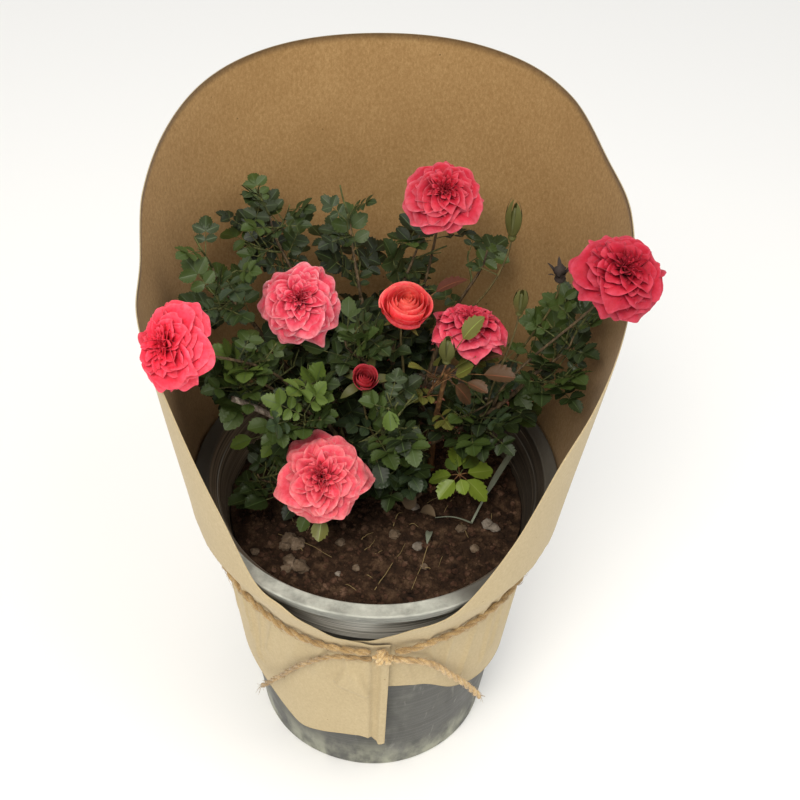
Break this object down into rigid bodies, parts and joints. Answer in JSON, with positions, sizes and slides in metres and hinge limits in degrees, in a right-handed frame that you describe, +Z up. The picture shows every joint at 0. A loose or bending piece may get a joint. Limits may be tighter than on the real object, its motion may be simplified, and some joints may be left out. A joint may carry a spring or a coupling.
{
  "type": "potted rose bush in a paper wrap",
  "caption": "Small rose bush with coral flowers in a tapered plant pot, wrapped in a hooded sheet of kraft paper tied with twine; stands on the pot's flat underside.",
  "frame": {"origin": "centre of the pot's flat underside, on the pot's axis", "axes": "+Z up along the pot's axis; -Y is the front, where the paper wrap opens and is tied; +X is to the right as seen from the front"},
  "size_m": [0.2687, 0.2463, 0.421],
  "materials": {
    "pot_plastic": "matte",
    "potting_soil": "matte",
    "kraft_paper": "matte",
    "jute_twine": "matte",
    "rose_bark": "matte",
    "young_red_bark": "satin",
    "rose_leaf": "satin",
    "young_leaf": "satin",
    "coral_petal": "matte",
    "salmon_petal": "matte",
    "rosebud": "satin"
  },
  "bodies": {
    "root": {"pot": "pot_plastic", "soil": "potting_soil", "paper_wrap": "kraft_paper", "twine_loop": "jute_twine", "twine_knot": "jute_twine", "twine_tail_left": "jute_twine", "twine_tail_right": "jute_twine", "stem_foot": "rose_bark", "cane_left_top": "rose_bark", "cane_left_middle": "rose_bark", "cane_back_left": "rose_bark", "cane_back_middle": "rose_bark", "cane_back_right": "rose_bark", "cane_front_left": "rose_bark", "cane_centre": "rose_bark", "cane_front": "rose_bark", "cane_front_low": "rose_bark", "cane_right_back": "rose_bark", "cane_right": "rose_bark", "cane_right_middle": "rose_bark", "cane_back_low": "rose_bark", "cane_young_shoot": "rose_bark", "cane_low_left": "rose_bark", "cane_red": "young_red_bark", "cane_stub": "rose_bark", "flower_left": "coral_petal", "flower_upper_left": "coral_petal", "flower_top": "coral_petal", "flower_right": "coral_petal", "flower_front": "coral_petal", "flower_inner": "coral_petal", "flower_half_open": "salmon_petal", "bud_tall": "rosebud", "bud_green": "rosebud", "bud_front": "rosebud", "bud_low_red": "rosebud", "bud_spent": "rosebud", "leaves_left_top": "rose_leaf", "leaves_left_middle": "rose_leaf", "leaves_back_left": "rose_leaf", "leaves_back_middle": "rose_leaf", "leaves_back_right": "rose_leaf", "leaves_front_left": "rose_leaf", "leaves_centre": "rose_leaf", "leaves_front": "rose_leaf", "leaves_front_low": "rose_leaf", "leaves_right_back": "rose_leaf", "leaves_right": "rose_leaf", "leaves_right_middle": "rose_leaf", "leaves_back_low": "rose_leaf", "leaves_young_shoot": "young_leaf", "leaves_low_left": "rose_leaf", "leaves_red": "young_leaf"}
  },
  "joints": []
}
